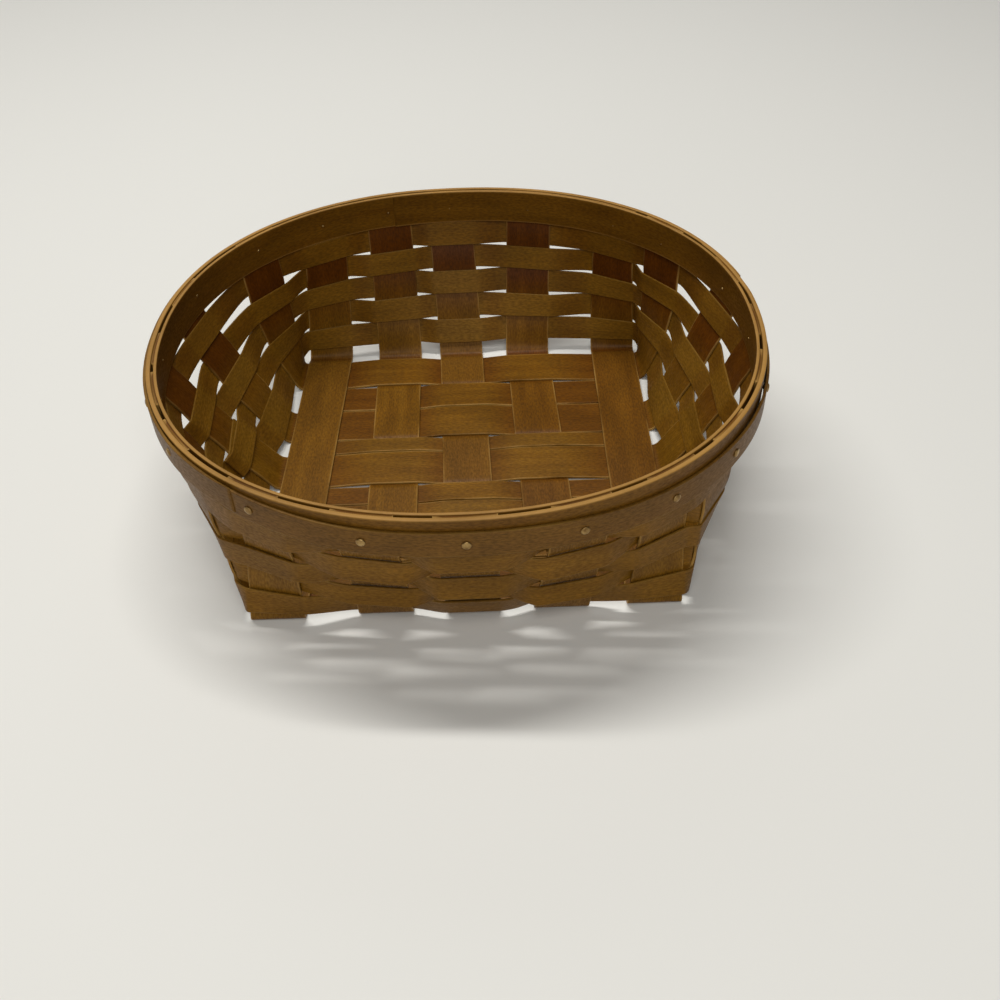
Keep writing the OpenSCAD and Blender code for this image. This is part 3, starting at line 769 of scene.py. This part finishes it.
# Painted shade: the top rows darken inside under the rim, and every weaver darkens inside in the gaps.
row_shades, gap_shade = (0, 0, 0, 0.08, 0.22), 0.3
lap_uprights, start_lifts = (3, 17, 1, 2, 3), np.array([0.5, 1.9, 0.5, 0.5, 0.5]) * mm
lap_step = weaver_thick + 0.15 * mm
tail_stations, tail_rise, start_fall = over_stations + 9, 9, over_stations + 7
for k in range(weaver_count):
    z, sense = weaver_low + k * (weaver_width + weaver_gap), 1 if k % 2 == 0 else -1
    low, high = weaver_edge(z, sense, weaver_hang if k else 0), weaver_edge(z + weaver_width, sense, 0)
    station = np.arange(len(low) + tail_stations)
    order = (station + lap_uprights[k] * per_upright) % len(low)
    low, high = low[order], high[order]
    middle, across = soften((low + high) / 2), unit(high - low)
    through = unit(np.cross(np.gradient(middle, axis=0), across))
    wide = np.linalg.norm(high - low, axis=1) / weaver_width
    tail = eased((station - len(station) + tail_stations + tail_rise) / tail_rise)[:, None]
    lift = (1 - eased(station / start_fall))[:, None] * start_lifts[k]
    middle = middle - through * tail * lap_step + across * lift
    gap_share = np.clip((order % per_upright - over_stations + 1) / (gap_stations + 1), 0, 1)
    inner_shade = row_shades[k] + gap_shade * np.sin(np.pi * gap_share)[:, None]
    piece = strip_mesh(
        f"splint_weaver_{k + 1}", (middle, across, through), weaver_outline, weaver_seed + k,
        weaver_tones[k], wide=wide, stain_and_shade=np.where(weaver_outline[:, 1] < 0, inner_shade, outer_shade))
    made.append(dress(piece, f"weaver_{k + 1}", wood["weaver"]))
print("weaver stations:", len(middle), "faces:", len(piece.data.polygons))

# %% [markdown]
# The rim has three bent bands. A band is the same strip carried round the rim's outline on edge. The hoop
# and the inner band end in a scarf: one end is planed thin from inside and the other from outside, so that
# they lie on each other at one thickness. On the trim it is the last stretch that lies outside, over its
# start. A lap is given by the angle where it ends, its length in degrees, the share of the thickness left
# at its tip, and whether the tail lies outside.

# %% Rim bands
band_stations = 460
step_run = 0.5


def bent_band(name, outer, inner, top, tall, rounding, lap, seed, tone, rise=None, stand=None):
    """Middle = outline at the middle inset, plus a rise and a stand-off; the thickness tapers in the lap."""
    lap_at, lap_angle, tip, tail_outside = lap
    first = lap_at - lap_angle
    turn = np.linspace(first, lap_at + 360, int(band_stations * (1 + lap_angle / 360)))
    share = (turn - first) / lap_angle
    start_part, tail_part = np.clip(share, 0, 1), np.clip(share - 360 / lap_angle, 0, 1)
    thick = inner - outer
    planed = thick * (1 - tip)
    step = tip * thick * eased((share - 360 / lap_angle + step_run) / step_run)
    if tail_outside:
        outer_side, inner_side = outer + planed * (1 - start_part) - step, inner - planed * tail_part - step
    else:
        outer_side, inner_side = outer + planed * tail_part + step, inner - planed * (1 - start_part) + step
    inset = (outer_side + inner_side) / 2
    way = rim_outward(rim_outline(np.radians(turn), 0), 0)
    middle = rim_outline(np.radians(turn), inset) + (top - tall / 2) * up
    if rise is not None:
        middle = middle + up * rise(turn)[:, None] + way * stand(turn)[:, None]
    thin = (inner_side - outer_side) / thick
    path = middle, 0 * middle + up, way
    return strip_mesh(name, path, strip_outline(tall, thick, rounding), seed, tone, thin)


def hump(turn, tall, at, wide):
    """A bell curve of the angle round the rim, of a height and width, with the angle wrapped round."""
    away = (turn - at + 180) % 360 - 180
    return tall * np.exp(-((away / wide) ** 2))


print("band stations:", band_stations)

# %% [markdown]
# The trim is the loosest band. From its start at the front left it comes down and sags at the front right,
# then climbs on its way round, so that its end meets its start. It also stands off the hoop in two places.
# Its heights are in millimetres, and each hump has a height, a place and a width in degrees.

# %% Trim and bands
inner_lap, hoop_lap = (106, 60, 0.3, False), (27, 14, 0.25, False)
trim_lap_at, trim_lap, trim_tip = 231, 16, 0.2
trim_level, end_climb, start_climb = -0.5, 4.2, 4.0
climb_from, climb_run, start_run = 0.4, 0.5, 0.13
front_right_sag, right_bow, left_bow = (2.2, 313, 22), (0.9, 333, 13), (0.3, 249, 8)
inner_seed, hoop_seed, trim_seed = 41, 42, 43
inner_tone, hoop_tone, trim_tone = 0.1, 0.25, 0.55
pressed_slot = hoop_thick + stake_thick + 2 * pressed_gap
band_inside = pressed_slot + 1.45 * mm


def trim_rise(turn):
    """Height against the CAD's level: high at both ends, with a sag at the front right."""
    run = (turn - trim_lap_at + trim_lap) / (360 + trim_lap)
    ends = end_climb * eased((run - climb_from) / climb_run) + start_climb * (1 - eased(run / start_run))
    return (trim_level + ends - hump(turn, *front_right_sag)) * mm


def trim_stand(turn):
    """Distance off the hoop: two bows, at the right and at the front left."""
    return (hump(turn, *right_bow) + hump(turn, *left_bow)) * mm


bands = (
    ("inner_rim_band", bent_band(
        "rim_inner_band", pressed_slot, band_inside, rim_height, band_tall, band_rounding,
        inner_lap, inner_seed, inner_tone)),
    ("outer_rim_hoop", bent_band(
        "rim_hoop", 0, hoop_thick, rim_height, hoop_tall, hoop_rounding,
        hoop_lap, hoop_seed, hoop_tone)),
    ("trim_band", bent_band(
        "rim_trim", -seat_gap - trim_thick, -seat_gap, rim_height - trim_drop, trim_tall, band_rounding,
        (trim_lap_at, trim_lap, trim_tip, True), trim_seed, trim_tone, trim_rise, trim_stand)))
for node, piece in bands:
    made.append(dress(piece, node, wood["trim" if node == "trim_band" else "rim"]))
print("bands:", [piece.name for _, piece in bands])

# %% [markdown]
# Twenty small tacks hold the trim, the hoop, an upright and the inner band together. A tack is turned round
# its own axis, so its surface is a function of the place along one profile and of the turn. The profile
# starts at the top of the domed head and ends at the point that shows inside the inner band. All twenty are
# one array.

# %% Tacks
tack_head_radius, tack_head_height, tack_radius, tack_point = 2 * mm, 0.9 * mm, 0.8 * mm, 0.4 * mm
tack_turns, dome_steps = 20, 6
head_rim, point_reach = 0.35, 1.6
tack_middle = rim_spot(head_at + tack_shift[side, stake])
tack_out = rim_outward(tack_middle, stake_inset)
tack_along = np.cross(up, tack_out)
turn = (np.degrees(np.arctan2(tack_middle[:, 1], tack_middle[:, 0])) - trim_lap_at) % 360 + trim_lap_at
guess = np.full(len(turn), stake_inset + seat_gap + trim_thick)
seat = rim_reach(tack_middle, tack_out, -seat_gap - trim_thick, guess) + trim_stand(turn)
inside = rim_reach(tack_middle, tack_out, band_inside, np.full(len(turn), stake_inset - band_inside))
tack_middle[:, 2] = rim_height - trim_drop - trim_tall / 2 + trim_rise(turn)

dome = np.linspace(0, 1, dome_steps)[1:]
dome_radius = tack_head_radius * np.sin(dome * np.pi / 2)
ring_radius = np.r_[dome_radius, tack_head_radius, tack_radius, tack_radius, tack_radius / 2]
dome_height = tack_head_height * (head_rim + (1 - head_rim) * np.cos(dome * np.pi / 2))
ring_place = np.concatenate([
    seat[:, None] + np.r_[dome_height, 0, 0],
    np.stack([inside, inside - tack_point], -1)], 1)
spin = np.linspace(0, 2 * np.pi, tack_turns, endpoint=False)
around = tack_along[:, None] * np.cos(spin)[:, None] + up * np.sin(spin)[:, None]
rings = (
    tack_middle[:, None, None]
    + tack_out[:, None, None] * ring_place[:, :, None, None]
    + around[:, None] * ring_radius[:, None, None])
crown = tack_middle + tack_out * (seat + tack_head_height)[:, None]
point = tack_middle + tack_out * (inside - point_reach * tack_point)[:, None]
print("tack rings:", rings.shape)

# %% [markdown]
# The rings of a tack are joined by quads, and a fan of triangles closes each end at a pole.

# %% Tack mesh
index = np.arange(rings[..., 0].size).reshape(rings.shape[:3])
first, second = index[:, :-1], index[:, 1:]
quads = np.stack([first, second, np.roll(second, -1, 2), np.roll(first, -1, 2)], -1)
poles = index.size + np.arange(2 * len(turn)).reshape(2, -1, 1).repeat(tack_turns, 2)
crown_fan = np.stack([poles[0], index[:, 0], np.roll(index[:, 0], -1, 1)], -1)
point_fan = np.stack([poles[1], np.roll(index[:, -1], -1, 1), index[:, -1]], -1)
mesh = bpy.data.meshes.new("tack_heads")
mesh.from_pydata(
    np.concatenate([rings.reshape(-1, 3), crown, point]), [],
    quads.reshape(-1, 4).tolist() + crown_fan.reshape(-1, 3).tolist() + point_fan.reshape(-1, 3).tolist())
mesh.polygons.foreach_set("use_smooth", np.ones(len(mesh.polygons), bool))
tack_piece = bpy.data.objects.new("tack_heads", mesh)
bpy.context.scene.collection.objects.link(tack_piece)
print("tacks:", len(turn), "faces:", len(mesh.polygons))

# %% [markdown]
# The heads are dull brass with a brown tarnish. One noise on object coordinates moves both the colour and
# the roughness, so the darker spots are also the rougher ones.

# %% Tack finish
tarnish_scale, tarnish_detail = 420, 4
brown_tarnish, bright_brass, brass_roughness = (0.24, 0.14, 0.05), (0.45, 0.30, 0.12), (0.55, 0.35)
brass = bpy.data.materials.new("dull_brass")
brass.use_nodes = True
tree = brass.node_tree
shader = tree.nodes["Principled BSDF"]
coords = tree.nodes.new("ShaderNodeTexCoord")
tarnish = tree.nodes.new("ShaderNodeTexNoise")
tarnish.inputs["Scale"].default_value = tarnish_scale
tarnish.inputs["Detail"].default_value = tarnish_detail
tree.links.new(coords.outputs["Object"], tarnish.inputs["Vector"])
spots = tarnish.outputs["Fac"]
brass_colour = mixed(tree, brown_tarnish, bright_brass, spread_range(tree, spots, 0, 1))
tree.links.new(brass_colour, shader.inputs["Base Color"])
tree.links.new(spread_range(tree, spots, *brass_roughness), shader.inputs["Roughness"])
shader.inputs["Metallic"].default_value = 1
made.append(dress(tack_piece, "tacks", brass))
print("pieces:", len(made))

# %% [markdown]
# The stage is a plain pale table top.

# %% Floor
floor_half_size = 4.0
table_colour, table_roughness, table_shine = (0.76, 0.755, 0.725, 1), 0.6, 0.3
floor_mesh = bpy.data.meshes.new("table_top")
corners = np.array([[-1, -1, 0], [1, -1, 0], [1, 1, 0], [-1, 1, 0]]) * floor_half_size
floor_mesh.from_pydata(corners, [], [(0, 1, 2, 3)])
table = bpy.data.objects.new("table_top", floor_mesh)
bpy.context.scene.collection.objects.link(table)
pale = bpy.data.materials.new("pale_table")
pale.use_nodes = True
pale_shader = pale.node_tree.nodes["Principled BSDF"]
pale_shader.inputs["Base Color"].default_value = table_colour
pale_shader.inputs["Roughness"].default_value = table_roughness
pale_shader.inputs["Specular IOR Level"].default_value = table_shine
floor_mesh.materials.append(pale)
print("table top", 2 * floor_half_size, "m square")

# %% [markdown]
# Soft light comes from lamps and the room. The main one is a long, narrow ceiling lamp behind the basket
# and to its left. It is narrow towards the viewer, so the slits in the front wall throw thin streaks of
# light into the shadow. A wide panel above the viewer fills that shadow, and low panels behind and in front
# light the floor and the back wall.

# %% Light
lamp_colour, lamp_target = (1, 0.985, 0.95), (0, 0, 0.03)
room_colour, room_strength = (1, 0.99, 0.965, 1), 0.06


def standing(axes, place):
    """The matrix of something that stands at a place, with its axes as columns."""
    return Matrix(np.vstack([np.column_stack([axes, place]), [0, 0, 0, 1]]).tolist())


def panel_lamp(name, place, size, power):
    """A lamp of a width along X and a depth, whose -Z side is turned from its place to the target."""
    data = bpy.data.lights.new(name, "AREA")
    data.shape, data.energy, data.color = "RECTANGLE", power, lamp_colour
    data.size, data.size_y = size
    lamp = bpy.data.objects.new(name, data)
    z = unit(np.array(place) - np.array(lamp_target))
    x = unit(np.cross([0, 1, 0], z))
    lamp.matrix_world = standing(np.stack([x, np.cross(z, x), z], -1), place)
    bpy.context.scene.collection.objects.link(lamp)
    return lamp


panel_lamp("ceiling_lamp", (-0.3, 0.42, 1.6), (1.6, 0.1), 21)
panel_lamp("front_ceiling_panel", (0.1, -1.2, 1.6), (1.2, 1.0), 14)
panel_lamp("back_panel", (-0.2, 1.7, 1.2), (1.8, 0.7), 4.5)
panel_lamp("front_panel", (-0.2, -1.9, 0.7), (1.4, 0.6), 5.5)
world = bpy.data.worlds.new("soft_room")
world.use_nodes = True
world.node_tree.nodes["Background"].inputs["Color"].default_value = room_colour
world.node_tree.nodes["Background"].inputs["Strength"].default_value = room_strength
bpy.context.scene.world = world
bpy.context.scene.view_settings.view_transform = "Standard"

# %% [markdown]
# The camera was fitted to the floor's stake edges, the rim and the base corners, and stands here as a
# place, three turns and a lens: the lens is the focal length in pixels over the width of the picture, times
# the sensor's width.

# %% Camera
picture_width, focal_pixels, sensor_width = 1000, 1080, 36
camera_place = np.array([16.5, -434.86, 379.67]) * mm
pitch, roll, yaw = np.radians([42.885, -1.892, 0.158])
ahead = np.array([np.sin(yaw) * np.cos(pitch), np.cos(yaw) * np.cos(pitch), -np.sin(pitch)])
right = np.array([np.cos(yaw), -np.sin(yaw), 0])
over = np.cross(right, ahead)
rows = np.cos(roll) * right + np.sin(roll) * over, np.cos(roll) * over - np.sin(roll) * right, -ahead
camera_data = bpy.data.cameras.new("photo_camera")
camera_data.sensor_width = sensor_width
camera_data.lens = sensor_width * focal_pixels / picture_width
camera = bpy.data.objects.new("photo_camera", camera_data)
camera.matrix_world = standing(np.stack(rows, -1), camera_place)
bpy.context.scene.collection.objects.link(camera)
bpy.context.scene.camera = camera
print(f"lens {camera_data.lens:.2f} mm")
